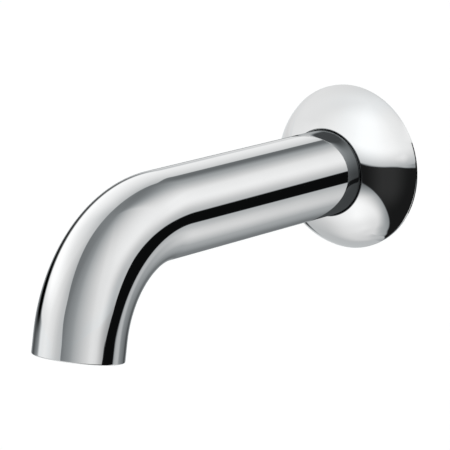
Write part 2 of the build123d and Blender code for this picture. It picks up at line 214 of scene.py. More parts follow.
class Graph:
    """A node tree that is filled by short calls, in which numbers and sockets may be mixed."""

    def __init__(self, tree):
        self.tree = tree
        tree.nodes.clear()

    def add(self, kind, inputs=None, **settings):
        node = self.tree.nodes.new(kind)
        for name, value in settings.items():
            setattr(node, name, value)
        for name, value in (inputs or {}).items():
            self.feed(node.inputs[name], value)
        return node

    def feed(self, socket, value):
        if isinstance(value, bpy.types.NodeSocket):
            self.tree.links.new(value, socket)
        else:
            socket.default_value = value

    def math(self, operation, *values):
        node = self.add("ShaderNodeMath", operation=operation)
        for socket, value in zip(node.inputs, values):
            self.feed(socket, value)
        return node.outputs["Value"]

    def plus(self, *values):
        result = values[0]
        for value in values[1:]:
            result = self.math("ADD", result, value)
        return result

    def minus(self, first, second):
        return self.math("SUBTRACT", first, second)

    def times(self, *values):
        result = values[0]
        for value in values[1:]:
            result = self.math("MULTIPLY", result, value)
        return result

    def split(self, vector):
        return self.add("ShaderNodeSeparateXYZ", {"Vector": vector}).outputs

    def point(self, x, y, z):
        return self.add("ShaderNodeCombineXYZ", {"X": x, "Y": y, "Z": z}).outputs["Vector"]

    def dot(self, vector, axis):
        node = self.add("ShaderNodeVectorMath", operation="DOT_PRODUCT")
        self.feed(node.inputs[0], vector)
        node.inputs[1].default_value = axis
        return node.outputs["Value"]

    def step(self, value, start, end, low=0.0, high=1.0):
        """Goes smoothly from low to high as the value goes from start to end."""
        node = self.add("ShaderNodeMapRange", interpolation_type="SMOOTHSTEP")
        for name, number in zip(
            ("Value", "From Min", "From Max", "To Min", "To Max"), (value, start, end, low, high)
        ):
            self.feed(node.inputs[name], number)
        return node.outputs["Result"]

    def span(self, value, start, full, fading, end):
        """One between full and fading, and nothing before start or after end."""
        return self.times(self.step(value, start, full), self.step(value, end, fading))

    def above(self, value, edge, blur):
        """One above an edge that is blurred by as much to either side."""
        return self.step(self.minus(value, edge), -blur, blur)

    def below(self, value, edge, blur):
        return self.step(self.minus(value, edge), blur, -blur)

    def scaled(self, value, factor, offset):
        return self.math("MULTIPLY_ADD", value, factor, offset)

    def dimmed(self, level, share, depth):
        """A level, less a depth of itself where the share is one."""
        return self.times(level, self.scaled(share, -depth, 1.0))

    def blend(self, share, low, high):
        node = self.add("ShaderNodeMix", {"Factor": share, "A": low, "B": high})
        return node.outputs["Result"]

    def tint(self, share, low, high):
        """Blends two colours."""
        node = self.add("ShaderNodeMix", {"Factor": share}, data_type="RGBA")
        ends = [socket for socket in node.inputs if socket.type == "RGBA"]
        for socket, colour in zip(ends, (low, high)):
            self.feed(socket, colour if isinstance(colour, bpy.types.NodeSocket) else (*colour, 1.0))
        return next(socket for socket in node.outputs if socket.type == "RGBA")

    def ring(self, azimuth, stops, reach=1.5, curve="CARDINAL"):
        """Number at an azimuth, drawn smoothly past a few stops; reach is the largest it can be."""
        place = self.scaled(azimuth, 1 / 360, 0.5)
        ramp = self.add("ShaderNodeValToRGB", {"Fac": place})
        ramp.color_ramp.interpolation = curve
        spots = ramp.color_ramp.elements
        while len(spots) > 1:
            spots.remove(spots[-1])
        for number, (angle, level) in enumerate(stops):
            share = level / (2 * reach) + 0.5
            spot = spots[0] if number == 0 else spots.new(angle / 360 + 0.5)
            spot.position = angle / 360 + 0.5
            spot.color = (share, share, share, 1.0)
        share = self.add("ShaderNodeSeparateColor", {"Color": ramp.outputs["Color"]}).outputs["Red"]
        return self.scaled(share, 2 * reach, -reach)

    def noise(self, place, scale, detail=2.0):
        node = self.add("ShaderNodeTexNoise", {"Vector": place, "Scale": scale, "Detail": detail})
        return node.outputs[0]

    def lines(self, place, scale, detail=3.0):
        """Noise along one length only, which draws fine lines across it."""
        node = self.add("ShaderNodeTexNoise", noise_dimensions="1D")
        self.feed(node.inputs["W"], place)
        self.feed(node.inputs["Scale"], scale)
        self.feed(node.inputs["Detail"], detail)
        return node.outputs[0]

    def bump(self, height, distance, strength=1.0):
        node = self.add("ShaderNodeBump", {"Height": height, "Distance": distance, "Strength": strength})
        return node.outputs["Normal"]


def new_finish(name):
    """A material with its shader, and the place on the piece that its pattern is read from."""
    material = bpy.data.materials.new(name)
    material.use_nodes = True
    g = Graph(material.node_tree)
    shader = g.add("ShaderNodeBsdfPrincipled")
    output = g.add("ShaderNodeOutputMaterial")
    g.feed(output.inputs["Surface"], shader.outputs["BSDF"])
    place = g.add("ShaderNodeTexCoord").outputs["Object"]
    return material, g, shader.inputs, place


def polished_chrome():
    """Bright plate with a hint of polishing haze."""
    material, g, shader, place = new_finish("polished_chrome")
    haze = g.noise(place, 45.0, 4.0)
    plate = g.tint(g.step(haze, 0.3, 0.7), (0.772, 0.778, 0.780), (0.788, 0.794, 0.796))
    g.feed(shader["Base Color"], plate)
    shader["Metallic"].default_value = 1.0
    g.feed(shader["Roughness"], g.step(haze, 0.3, 0.7, 0.022, 0.038))
    g.feed(shader["Normal"], g.bump(g.noise(place, 350.0), 4e-7))
    return material


def turned_brass():
    """Bare brass with the fine rings that a lathe tool leaves, a little dulled in patches."""
    material, g, shader, place = new_finish("turned_brass")
    _, along, _ = g.split(place)
    rings = g.lines(along, 9000.0)
    patches = g.noise(place, 160.0, 4.0)
    metal = g.tint(g.step(rings, 0.3, 0.7), (0.66, 0.49, 0.22), (0.76, 0.60, 0.31))
    g.feed(shader["Base Color"], g.tint(g.step(patches, 0.45, 0.75, 0.0, 0.45), metal, (0.50, 0.34, 0.16)))
    shader["Metallic"].default_value = 1.0
    g.feed(shader["Roughness"], g.plus(g.step(rings, 0.3, 0.7, 0.16, 0.26), g.times(patches, 0.12)))
    g.feed(shader["Normal"], g.bump(rings, 3e-6, 0.5))
    return material


def plain_steel():
    """Stainless steel with fine marks all one way."""
    material, g, shader, place = new_finish("plain_steel")
    x, y, z = g.split(place)
    marks = g.noise(g.point(x, g.times(y, 12.0), g.times(z, 12.0)), 900.0, 3.0)
    g.feed(shader["Base Color"], g.tint(g.step(marks, 0.3, 0.7), (0.50, 0.50, 0.51), (0.60, 0.60, 0.61)))
    shader["Metallic"].default_value = 1.0
    g.feed(shader["Roughness"], g.step(marks, 0.3, 0.7, 0.22, 0.38))
    g.feed(shader["Normal"], g.bump(marks, 2e-6, 0.5))
    return material


def matt_moulding(name, dark, light, grain, roughness, depth):
    """Moulded rubber or plastic: a fine even grain, and a slow change of shade."""
    material, g, shader, place = new_finish(name)
    pores = g.noise(place, grain, 3.0)
    shade = g.noise(place, 120.0, 2.0)
    g.feed(shader["Base Color"], g.tint(g.plus(g.times(pores, 0.6), g.times(shade, 0.4)), dark, light))
    g.feed(shader["Roughness"], g.step(pores, 0.3, 0.7, roughness - 0.06, roughness + 0.06))
    g.feed(shader["Normal"], g.bump(pores, depth, 0.6))
    return material


def arc(centre, radius, start, end, count):
    """Points on an arc of a section, from one angle to another in degrees."""
    turns = [math.radians(start + (end - start) * i / count) for i in range(count + 1)]
    return [(centre[0] + radius * math.cos(t), centre[1] + radius * math.sin(t)) for t in turns]


def eased(corner, before, after, size, count=5):
    """Points that round a corner of a section."""
    corner, before, after = Vector(corner), Vector(before), Vector(after)
    into, out = (before - corner).normalized(), (after - corner).normalized()
    half = into.angle(out) / 2
    run = size / math.tan(half)
    centre = corner + (into + out).normalized() * size / math.sin(half)
    first, last = corner + into * run - centre, corner + out * run - centre
    sweep = first.angle(last)
    points = []
    for i in range(count + 1):
        share = i / count
        spoke = first * math.sin((1 - share) * sweep) + last * math.sin(share * sweep)
        points.append(tuple(centre + spoke / math.sin(sweep)))
    return points


def section(corners, pace=None):
    """Outline of a turned piece from its corners: radius, station, and how far the corner is rounded.

    With a pace, long sides get points about that far apart.
    """
    points = []
    for i, (radius, station, size) in enumerate(corners):
        if size:
            before, after = corners[i - 1], corners[(i + 1) % len(corners)]
            points += eased((radius, station), before[:2], after[:2], size)
        else:
            points.append((radius, station))
    if pace is None:
        return points
    spaced = []
    for start, end in zip(points, points[1:] + points[:1]):
        count = max(1, round((Vector(end) - Vector(start)).length / pace))
        spaced += [tuple(Vector(start).lerp(Vector(end), i / count)) for i in range(count)]
    return spaced


def outline(name, points, keyed=()):
    """Mesh of a section's points, in metres; the keyed ones are those that a hexagon key touches."""
    mesh = bpy.data.meshes.new(name)
    mesh.from_pydata([(radius * MM, station * MM, 0.0) for radius, station in points], [], [])
    flags = mesh.attributes.new("keyed", "FLOAT", "POINT")
    for i in keyed:
        flags.data[i].value = 1.0
    return mesh


def new_tree(name, sizes):
    """A geometry tree with named sizes, and its inputs."""
    tree = bpy.data.node_groups.new(name, "GeometryNodeTree")
    tree.interface.new_socket("Section", in_out="INPUT", socket_type="NodeSocketGeometry")
    for size, kind in sizes.items():
        tree.interface.new_socket(size, in_out="INPUT", socket_type="NodeSocket" + kind)
    tree.interface.new_socket("Material", in_out="INPUT", socket_type="NodeSocketMaterial")
    tree.interface.new_socket("Piece", in_out="OUTPUT", socket_type="NodeSocketGeometry")
    g = Graph(tree)
    return tree, g, g.add("NodeGroupInput").outputs


def end_tree(g, sizes, geometry):
    """Welds the seams, smooths all but the crisp edges, and hands the piece out in its material."""
    welded = g.add("GeometryNodeMergeByDistance", {"Geometry": geometry, "Distance": WELD_DISTANCE})
    smooth = g.add("GeometryNodeSetShadeSmooth", {"Geometry": welded.outputs["Geometry"]})
    bend = g.add("GeometryNodeInputMeshEdgeAngle").outputs["Unsigned Angle"]
    crisp = g.math("GREATER_THAN", bend, math.radians(CRISP_ANGLE))
    crisp = g.add(
        "GeometryNodeSetShadeSmooth",
        {"Geometry": smooth.outputs["Geometry"], "Selection": crisp, "Shade Smooth": False},
        domain="EDGE",
    )
    real = g.add("GeometryNodeRealizeInstances", {"Geometry": crisp.outputs["Geometry"]})
    dressed = g.add(
        "GeometryNodeSetMaterial", {"Geometry": real.outputs["Geometry"], "Material": sizes["Material"]}
    )
    g.feed(g.add("NodeGroupOutput").inputs["Piece"], dressed.outputs["Geometry"])


def numbered_grid(g, rows, steps):
    """A grid of faces, with the number of each point's row and step."""
    grid = g.add(
        "GeometryNodeMeshGrid",
        {"Size X": rows, "Size Y": steps, "Vertices X": g.plus(rows, 1.0), "Vertices Y": g.plus(steps, 1.0)},
    )
    x, y, _ = g.split(g.add("GeometryNodeInputPosition").outputs["Position"])
    row = g.math("ROUND", g.math("MULTIPLY_ADD", rows, 0.5, x))
    step = g.math("ROUND", g.math("MULTIPLY_ADD", steps, 0.5, y))
    return grid.outputs["Mesh"], row, step


def turned(g, sizes):
    """Turns the section's points round the axis: the faces, and each point across, up and along."""
    count = g.add("GeometryNodeAttributeDomainSize", {"Geometry": sizes["Section"]}).outputs["Point Count"]
    rows = g.plus(count, sizes["Closed"], -1.0)
    grid, row, step = numbered_grid(g, rows, sizes["Steps"])
    index = g.math("FLOORED_MODULO", row, count)
    point = {"Geometry": sizes["Section"], "Index": index}
    place = g.add("GeometryNodeSampleIndex", point, data_type="FLOAT_VECTOR")
    g.feed(place.inputs["Value"], g.add("GeometryNodeInputPosition").outputs["Position"])
    radius, station, _ = g.split(place.outputs["Value"])
    keyed = g.add("GeometryNodeSampleIndex", point, data_type="FLOAT")
    mark = g.add("GeometryNodeInputNamedAttribute", {"Name": "keyed"}, data_type="FLOAT")
    g.feed(keyed.inputs["Value"], mark.outputs["Attribute"])
    angle = g.math("DIVIDE", g.times(step, math.tau), sizes["Steps"])
    sixth = g.minus(g.math("FLOORED_MODULO", angle, math.pi / 3), math.pi / 6)
    hexagon = g.math("DIVIDE", 1.0, g.math("COSINE", sixth))
    radius = g.times(radius, g.blend(keyed.outputs["Value"], 1.0, hexagon))
    return grid, g.times(radius, g.math("COSINE", angle)), g.times(radius, g.math("SINE", angle)), station


def moved(g, geometry, place):
    return g.add("GeometryNodeSetPosition", {"Geometry": geometry, "Position": place}).outputs["Geometry"]


def turned_tree():
    """A piece turned about the inlet's axis from its section."""
    tree, g, sizes = new_tree("turned_piece", {"Closed": "Int", "Steps": "Int"})
    grid, across, up, station = turned(g, sizes)
    faces = moved(g, grid, g.point(across, g.times(station, -1.0), up))
    end_tree(g, sizes, g.add("GeometryNodeFlipFaces", {"Mesh": faces}).outputs["Mesh"])
    return tree


def bent_tree():
    """A tube turned from its section, bent down from a station on, and drilled once from below."""
    lengths = ("Straight End", "Bend Radius", "Bend Angle", "Hole Station", "Hole Radius", "Hole Depth")
    tree, g, sizes = new_tree(
        "bent_tube", {"Closed": "Int", "Steps": "Int", **{length: "Float" for length in lengths}}
    )
    grid, across, up, station = turned(g, sizes)
    past_start = g.minus(station, sizes["Straight End"])
    turn = g.math("DIVIDE", past_start, sizes["Bend Radius"])
    turn = g.math("MAXIMUM", g.math("MINIMUM", turn, sizes["Bend Angle"]), 0.0)
    sine, cosine = g.math("SINE", turn), g.math("COSINE", turn)
    before = g.math("MINIMUM", station, sizes["Straight End"])
    past_bend = g.minus(past_start, g.times(sizes["Bend Radius"], sizes["Bend Angle"]))
    past_bend = g.math("MAXIMUM", past_bend, 0.0)
    out = g.plus(before, g.times(g.plus(sizes["Bend Radius"], up), sine), g.times(past_bend, cosine))
    drop = g.plus(g.times(sizes["Bend Radius"], g.minus(1.0, cosine)), g.times(past_bend, sine))
    high = g.minus(g.times(up, cosine), drop)
    tube = moved(g, grid, g.point(across, g.times(out, -1.0), high))
    tube = g.add("GeometryNodeMergeByDistance", {"Geometry": tube, "Distance": WELD_DISTANCE})
    drill = g.add(
        "GeometryNodeMeshCylinder",
        {"Vertices": DRILL_STEPS, "Radius": sizes["Hole Radius"], "Depth": sizes["Hole Depth"]},
    )
    below = g.point(0.0, g.times(sizes["Hole Station"], -1.0), g.times(sizes["Hole Depth"], -1.0))
    drill = g.add("GeometryNodeTransform", {"Geometry": drill.outputs["Mesh"], "Translation": below})
    drilled = g.add("GeometryNodeMeshBoolean", operation="DIFFERENCE", solver="EXACT")
    g.feed(drilled.inputs["Mesh 1"], tube.outputs["Geometry"])
    g.feed(drilled.inputs["Mesh 2"], drill.outputs["Geometry"])
    end_tree(g, sizes, drilled.outputs["Mesh"])
    return tree


def thread_tree():
    """A sheet of thread round the inlet's axis, whose two ends run out to plain circles."""
    lengths = ("Start", "End", "Radius", "Depth", "Pitch", "Start Radius", "End Radius")
    tree, g, sizes = new_tree(
        "pipe_thread", {"Rows": "Int", "Steps": "Int", **{length: "Float" for length in lengths}}
    )
    length = g.minus(sizes["End"], sizes["Start"])
    turns = g.plus(g.math("CEIL", g.math("DIVIDE", length, sizes["Pitch"])), 1.0)
    grid, row, step = numbered_grid(g, g.times(turns, sizes["Rows"]), sizes["Steps"])
    turn = g.math("DIVIDE", step, sizes["Steps"])
    along = g.plus(g.math("DIVIDE", row, sizes["Rows"]), turn, -1.0)
    along = g.math("MINIMUM", g.math("MAXIMUM", g.times(along, sizes["Pitch"]), 0.0), length)
    phase = g.times(g.minus(g.math("DIVIDE", along, sizes["Pitch"]), turn), math.tau)
    wave = g.scaled(g.math("COSINE", phase), 0.5, -0.5)
    radius = g.plus(sizes["Radius"], g.times(wave, sizes["Depth"]))
    radius = g.math("MINIMUM", radius, g.plus(sizes["Start Radius"], along))
    radius = g.math("MINIMUM", radius, g.plus(sizes["End Radius"], g.minus(length, along)))
    angle = g.times(turn, math.tau)
    across, up = g.times(radius, g.math("COSINE", angle)), g.times(radius, g.math("SINE", angle))
    station = g.plus(sizes["Start"], along)
    end_tree(g, sizes, moved(g, grid, g.point(across, g.times(station, -1.0), up)))
    return tree


def placed(name, mesh):
    """An object in the scene, at the origin."""
    thing = bpy.data.objects.new(name, mesh)
    bpy.context.scene.collection.objects.link(thing)
    return thing


def shaped(name, mesh, tree, material, **sizes):
    """A piece made by a tree from a section, as a plain mesh."""
    piece = placed(name, mesh)
    modifier = piece.modifiers.new("shape", "NODES")
    modifier.node_group = tree
    given = {size.replace("_", " ").title(): value for size, value in sizes.items()}
    given["Material"] = material
    for socket in tree.interface.items_tree:
        if socket.item_type == "SOCKET" and socket.name in given:
            modifier[socket.identifier] = given[socket.name]
    even_normals(piece)
    return piece


def even_normals(piece):
    """Makes the modifiers' result the piece's mesh, with normals that keep its flat faces flat."""
    weighted = piece.modifiers.new("even_normals", "WEIGHTED_NORMAL")
    weighted.keep_sharp = True
    graph = bpy.context.evaluated_depsgraph_get()
    mesh = bpy.data.meshes.new_from_object(piece.evaluated_get(graph))
    piece.modifiers.clear()
    piece.data = mesh
    mesh.name = piece.name


def stands_for(piece, node):
    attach(piece, "root")
    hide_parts(node)


def eased_copy(name, node, material):
    """A copy of a solid with its sharp edges eased, as turned and moulded pieces have them."""
    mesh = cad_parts[node].data.copy()
    whole = bmesh.new()
    whole.from_mesh(mesh)
    bmesh.ops.remove_doubles(whole, verts=whole.verts, dist=JOIN_DISTANCE)
    whole.to_mesh(mesh)
    whole.free()
    mesh.materials.clear()
    mesh.materials.append(material)
    piece = placed(name, mesh)
    bevel = piece.modifiers.new("eased_edges", "BEVEL")
    bevel.width = EASED_WIDTH * MM
    bevel.segments = EASED_SEGMENTS
    bevel.limit_method = "ANGLE"
    bevel.angle_limit = math.radians(EASED_ANGLE)
    even_normals(piece)
    stands_for(piece, node)


def chromed_tube(chrome):
    """The drawn and bent tube, with its rounded lip and the hole for the grub screw."""
    end = STRAIGHT_END + BEND_RADIUS * math.radians(BEND_ANGLE) + TIP_LENGTH
    bore = TUBE_RADIUS - TUBE_WALL
    points = section(
        [
            (TUBE_RADIUS, TUBE_SETBACK, REAR_ROUND), (TUBE_RADIUS, end, LIP_ROUND),
            (bore, end, LIP_ROUND), (bore, TUBE_SETBACK, REAR_ROUND),
        ],
        pace=TUBE_PACE,
    )
    piece = shaped(
        "chromed_tube", outline("tube_section", points), bent_tree(), chrome, closed=1, steps=TUBE_STEPS,
        straight_end=STRAIGHT_END * MM, bend_radius=BEND_RADIUS * MM, bend_angle=math.radians(BEND_ANGLE),
        hole_station=GRUB_STATION * MM, hole_radius=GRUB_HOLE_RADIUS * MM, hole_depth=TUBE_RADIUS * MM,
    )
    stands_for(piece, "spout_tube")
    return piece


def chromed_flange(tree, chrome):
    """The hollow dome, with a sleeve round the tube and a flat foot for the seal."""
    start = math.degrees(math.asin((RIM_LAND - DOME_CENTRE[1]) / DOME_RADIUS))
    end = math.degrees(math.asin((FLANGE_HEIGHT - DOME_CENTRE[1]) / DOME_RADIUS))
    dome = arc(DOME_CENTRE, DOME_RADIUS, start, end, DOME_STEPS)
    crown_centre = (FLANGE_HOLE + CROWN_ROUND, FLANGE_HEIGHT - CROWN_ROUND)
    crown = arc(crown_centre, CROWN_ROUND, 90.0, 180.0, CROWN_STEPS)
    inner = DOME_RADIUS - FLANGE_WALL
    hub_turn = math.degrees(math.acos((HUB_RADIUS - DOME_CENTRE[0]) / inner))
    foot_turn = math.degrees(math.acos((FOOT_RADIUS - DOME_CENTRE[0]) / inner))
    hollow = arc(DOME_CENTRE, inner, hub_turn, foot_turn, DOME_STEPS // 3)
    low, high, floor = GRIP_GROOVE
    seal_in, seal_out, seal_floor = SEAL_GROOVE
    corners = [(FLANGE_RADIUS, 0.0, EDGE_BREAK), (FLANGE_RADIUS, RIM_LAND / 2, 0.0)]
    corners += [(radius, station, 0.0) for radius, station in dome + crown[1:]]
    corners += [
        (FLANGE_HOLE, high, EDGE_BREAK), (floor, high, 0.0),
        (floor, low, 0.0), (FLANGE_HOLE, low, EDGE_BREAK),
        (FLANGE_HOLE, HUB_END, EDGE_BREAK), (HUB_RADIUS, HUB_END, EDGE_BREAK),
    ]
    corners += [(radius, station, 0.0) for radius, station in hollow]
    corners += [
        (FOOT_RADIUS, 0.0, EDGE_BREAK), (seal_in, 0.0, EDGE_BREAK), (seal_in, seal_floor, 0.0),
        (seal_out, seal_floor, 0.0), (seal_out, 0.0, EDGE_BREAK),
    ]
    mesh = outline("flange_section", section(corners))
    piece = shaped("chromed_flange", mesh, tree, chrome, closed=1, steps=FLANGE_STEPS)
    stands_for(piece, "wall_flange")
    return piece


def brass_nipple(tree, brass):
    """The turned nipple: pipe thread, shoulder, grooved spigot and the hexagon for its key."""
    corners = [(THREAD_END_RADII[1], THREAD_ENDS[1], 0.0), (THREAD_END_RADII[1], SHOULDER, 0.0)]
    corners.append((SPIGOT_RADIUS, SHOULDER, EDGE_BREAK))
    for low, high, floor in (GRUB_GROOVE, *RING_GROOVES):
        corners += [
            (SPIGOT_RADIUS, low, EDGE_BREAK), (floor, low, 0.0), (floor, high, 0.0),
            (SPIGOT_RADIUS, high, EDGE_BREAK),
        ]
    corners += [
        (SPIGOT_RADIUS, SPIGOT_END - SPIGOT_CHAMFER, 0.0), (SPIGOT_RADIUS - SPIGOT_CHAMFER, SPIGOT_END, 0.0),
    ]
    points = section(corners)
    keyed = (len(points), len(points) + 1)
    points += [(KEY_RADIUS, SPIGOT_END), (KEY_RADIUS, KEY_END)]
    points += [(WATER_BORE, KEY_END), (WATER_BORE, THREAD_ENDS[0] + EDGE_BREAK)]
    points += [(WATER_BORE + EDGE_BREAK, THREAD_ENDS[0]), (THREAD_END_RADII[0], THREAD_ENDS[0])]
    mesh = outline("nipple_section", points, keyed)
    piece = shaped("brass_nipple", mesh, tree, brass, closed=0, steps=NIPPLE_STEPS)
    thread = shaped(
        "nipple_thread", bpy.data.meshes.new("nipple_thread"), thread_tree(), brass,
        rows=THREAD_ROWS, steps=NIPPLE_STEPS, start=THREAD_ENDS[0] * MM, end=THREAD_ENDS[1] * MM,
        radius=THREAD_RADIUS * MM, depth=THREAD_DEPTH * MM, pitch=THREAD_PITCH * MM,
        start_radius=THREAD_END_RADII[0] * MM, end_radius=THREAD_END_RADII[1] * MM,
    )
    both = bmesh.new()
    both.from_mesh(piece.data)
    both.from_mesh(thread.data)
    bmesh.ops.remove_doubles(both, verts=both.verts, dist=JOIN_DISTANCE)
    bmesh.ops.recalc_face_normals(both, faces=both.faces)
    both.to_mesh(piece.data)
    both.free()
    bpy.data.objects.remove(thread)
    even_normals(piece)
    stands_for(piece, "inlet_nipple")
    return piece


def heading(azimuth, elevation):
    """Unit vector of a direction in the studio."""
    a, e = math.radians(azimuth), math.radians(elevation)
    return Vector((math.sin(a) * math.cos(e), -math.cos(a) * math.cos(e), math.sin(e)))


def angles(g, ray):
    """Azimuth and elevation of a direction, in degrees."""
    x, y, z = g.split(ray)
    azimuth = g.math("DEGREES", g.math("ARCTAN2", x, g.times(y, -1.0)))
    return azimuth, g.math("DEGREES", g.math("ARCSINE", z))


def room_walls(g, ray, azimuth, elevation):
    """Level of the walls and ceiling: white on the left, a slow shade from dark to light on the right."""
    x, y, z = g.split(ray)
    left = g.times(g.ring(azimuth, LEFT_WALL), g.step(elevation, *LEFT_WALL_TOP))
    in_front = g.times(g.step(azimuth, -118.0, -85.0), g.step(elevation, 18.0, 46.0))
    left = g.dimmed(left, in_front, LEFT_WALL_DIP)

    # The right wall runs over into the ceiling, and sooner towards the back
    below_zenith = g.math("MINIMUM", g.scaled(elevation, -1 / 60, 90 / 60), 1.0)
    spread = g.times(below_zenith, g.minus(2.0, below_zenith))
    behind = g.math("MAXIMUM", g.scaled(g.math("ABSOLUTE", azimuth), 1 / 70, -110 / 70), 0.0)
    height, speed, delay = BACK_FADE
    fade = g.math("MINIMUM", g.scaled(elevation, -1 / 90, height), 1.0)
    fade = g.math("POWER", fade, g.math("MAXIMUM", g.scaled(behind, speed, delay), 0.0))
    ceiling = g.step(y, -0.25, 0.45, *CEILING_LEVELS)
    right = g.blend(g.times(spread, fade), ceiling, g.ring(azimuth, RIGHT_WALL))
    haze = g.times(g.step(elevation, *SIDE_HAZE), g.step(azimuth, 78.0, 106.0))
    haze = g.blend(g.step(azimuth, 112.0, 136.0), haze, g.step(elevation, *BACK_HAZE))
    right = g.times(right, g.minus(1.0, haze))

    # The seam between the two leans to the left
    lean = g.plus(g.step(y, *SEAM_LEAN), g.step(y, *SEAM_BACK_LEAN))
    seam = g.plus(g.times(z, lean), x, g.step(y, *SEAM_FRONT_SHIFT))
    return g.blend(g.step(seam, -SEAM_BLUR, SEAM_BLUR), left, right)


def corner_shade(g, azimuth, elevation):
    """Share of the small dark corner that the flange shows low at the left, beside the tube."""
    return g.times(
        g.span(azimuth, -133.0, -121.0, -116.0, -110.0), g.span(elevation, -36.0, -32.0, -26.0, -21.0)
    )


def room_floor(g, azimuth, elevation, foot):
    """Level of the floor as the chrome shows it: dimmer far off, shaded beside the board."""
    far_off = g.blend(g.span(azimuth, 128.0, 140.0, 148.0, 158.0), *FLOOR_FAR_OFF)
    floor = g.times(g.ring(azimuth, FLOOR_GLOW), g.step(elevation, -14.0, -34.0, far_off, 1.0))
    strips = g.plus(
        g.times(g.span(azimuth, -172.0, -150.0, -126.0, -106.0), FLOOR_STRIPS[0]),
        g.times(g.span(azimuth, -105.0, -82.0, -70.0, -55.0), FLOOR_STRIPS[1]),
    )
    floor = g.plus(floor, g.times(strips, g.step(elevation, -27.5, -14.5)))
    floor = g.blend(g.step(elevation, -52.0, -74.0), floor, g.ring(azimuth, FLOOR_BELOW))
    shade = g.step(g.minus(foot, elevation), *BOARD_SHADE)
    open_floor = g.times(g.step(azimuth, 100.0, 125.0), g.step(elevation, -60.0, -52.0))
    floor = g.times(floor, g.blend(open_floor, shade, 1.0))
    floor = g.dimmed(floor, corner_shade(g, azimuth, elevation), CORNER_DEPTH)
    return g.blend(g.step(elevation, -78.0, -88.0), floor, FLOOR_STRAIGHT_BELOW)


def dark_board(g, azimuth, elevation, top, foot):
    """Share of the dark board that stands between the floor and the right wall."""
    top_blur, foot_blur = BOARD_BLURS
    high = g.step(elevation, *BOARD_LOW_END)
    under = g.times(g.above(azimuth, BOARD_CORNER, 2.0), g.below(elevation, BOARD_BACK_FOOT, 0.7), high)
    past_end = g.times(g.above(azimuth, BOARD_ENDS[1], 1.0), high)
    board = g.times(
        g.below(elevation, top, top_blur),
        g.above(elevation, foot, foot_blur),
        g.above(azimuth, BOARD_ENDS[0], 3.0),
        g.minus(1.0, g.math("MAXIMUM", under, past_end)),
    )
    past_back = g.plus(azimuth, 180.0)
    tail_foot = g.scaled(past_back, BOARD_TAIL[1], BOARD_TAIL[0])
    tail = g.times(g.step(past_back, 13.0, 8.0), g.above(elevation, tail_foot, foot_blur))
    return g.math("MAXIMUM", board, g.times(tail, g.step(elevation, -54.0, -58.0)))


def doorway(g, azimuth, elevation):
    """Share of light left at the dark doorway on the left."""
    off_centre = g.minus(azimuth, DOORWAY_CENTRE[0])
    aside = g.math("DIVIDE", off_centre, DOORWAY_SIZE[0])
    raised = g.scaled(off_centre, DOORWAY_TILT, elevation)
    above = g.math("DIVIDE", g.minus(raised, DOORWAY_CENTRE[1]), DOORWAY_SIZE[1])
    far = g.math("SQRT", g.plus(g.times(aside, aside), g.times(above, above)))
    return g.step(far, *DOORWAY_EDGE)


def room_level(g, ray):
    """Level of the studio in a direction."""
    azimuth, elevation = angles(g, ray)
    top, foot = g.ring(azimuth, BOARD_TOP, 10.0), g.ring(azimuth, BOARD_FOOT, 90.0, "B_SPLINE")
    walls = room_walls(g, ray, azimuth, elevation)
    dusk = g.times(g.step(elevation, 14.0, 2.0), g.span(azimuth, 30.0, 60.0, 104.0, 110.0))
    walls = g.dimmed(walls, dusk, BOARD_DUSK)
    floor = room_floor(g, azimuth, elevation, foot)
    horizon = g.math("MINIMUM", top, 0.0)
    room = g.blend(g.above(elevation, horizon, HORIZON_BLUR), floor, walls)
    room = g.blend(dark_board(g, azimuth, elevation, top, foot), room, BOARD_LEVEL)
    return g.times(room, doorway(g, azimuth, elevation))


def mirrored_twice(g):
    """One where light reaches the camera by two mirroring surfaces or more, as from flange to tube."""
    return g.math("GREATER_THAN", g.add("ShaderNodeLightPath").outputs["Glossy Depth"], 1.5)


def dim_room(g, ray):
    """Level of the studio where it is mirrored twice: darker, with the board as a thin dark line."""
    azimuth, elevation = angles(g, ray)
    x, y, _ = g.split(ray)
    left = g.step(x, 0.2, -0.2)
    walls = g.blend(left, g.step(elevation, *TWICE_RIGHT), g.step(elevation, *TWICE_LEFT))
    walls = g.times(walls, g.scaled(y, TWICE_BEHIND, 1.0))
    walls = g.blend(g.step(elevation, -22.0, -45.0), walls, TWICE_BELOW)
    high = g.step(elevation, g.blend(left, 50.0, 38.0), g.blend(left, 84.0, 50.0))
    room = g.blend(high, walls, TWICE_ABOVE)
    sloped = g.scaled(azimuth, 0.16, g.minus(elevation, 14.4))
    return g.dimmed(room, g.span(sloped, -23.5, -20.5, -13.0, -9.0), TWICE_BOARD)


def shade_tint(g, level):
    """Colour of the room, a little cool where it is dark."""
    return g.tint(g.step(level, 0.1, 0.9), COOL_SHADE, WHITE)


def studio_world():
    """A white room with a shaded ceiling and a dark board low on the right; the camera sees white."""
    world = bpy.data.worlds.new("white_studio")
    world.use_nodes = True
    g = Graph(world.node_tree)
    ray = g.add("ShaderNodeTexCoord").outputs["Generated"]
    room = g.blend(mirrored_twice(g), room_level(g, ray), dim_room(g, ray))
    seen = g.blend(g.add("ShaderNodeLightPath").outputs["Is Camera Ray"], room, 1.0)
    background = g.add("ShaderNodeBackground", {"Strength": seen})
    g.feed(background.inputs["Color"], shade_tint(g, seen))
    output = g.add("ShaderNodeOutputWorld")
    g.feed(output.inputs["Surface"], background.outputs["Background"])
    bpy.context.scene.world = world


def stage_finish(mesh, name):
    """Gives a part of the stage a material: its tree, and the socket that takes the shader."""
    material = bpy.data.materials.new(name)
    material.use_nodes = True
    mesh.materials.append(material)
    g = Graph(material.node_tree)
    return g, g.add("ShaderNodeOutputMaterial").inputs["Surface"]


def only_mirrored(thing):
    """Hides a part of the stage from all but mirroring surfaces."""
    thing.visible_camera = False
    thing.visible_diffuse = False
    thing.visible_shadow = False


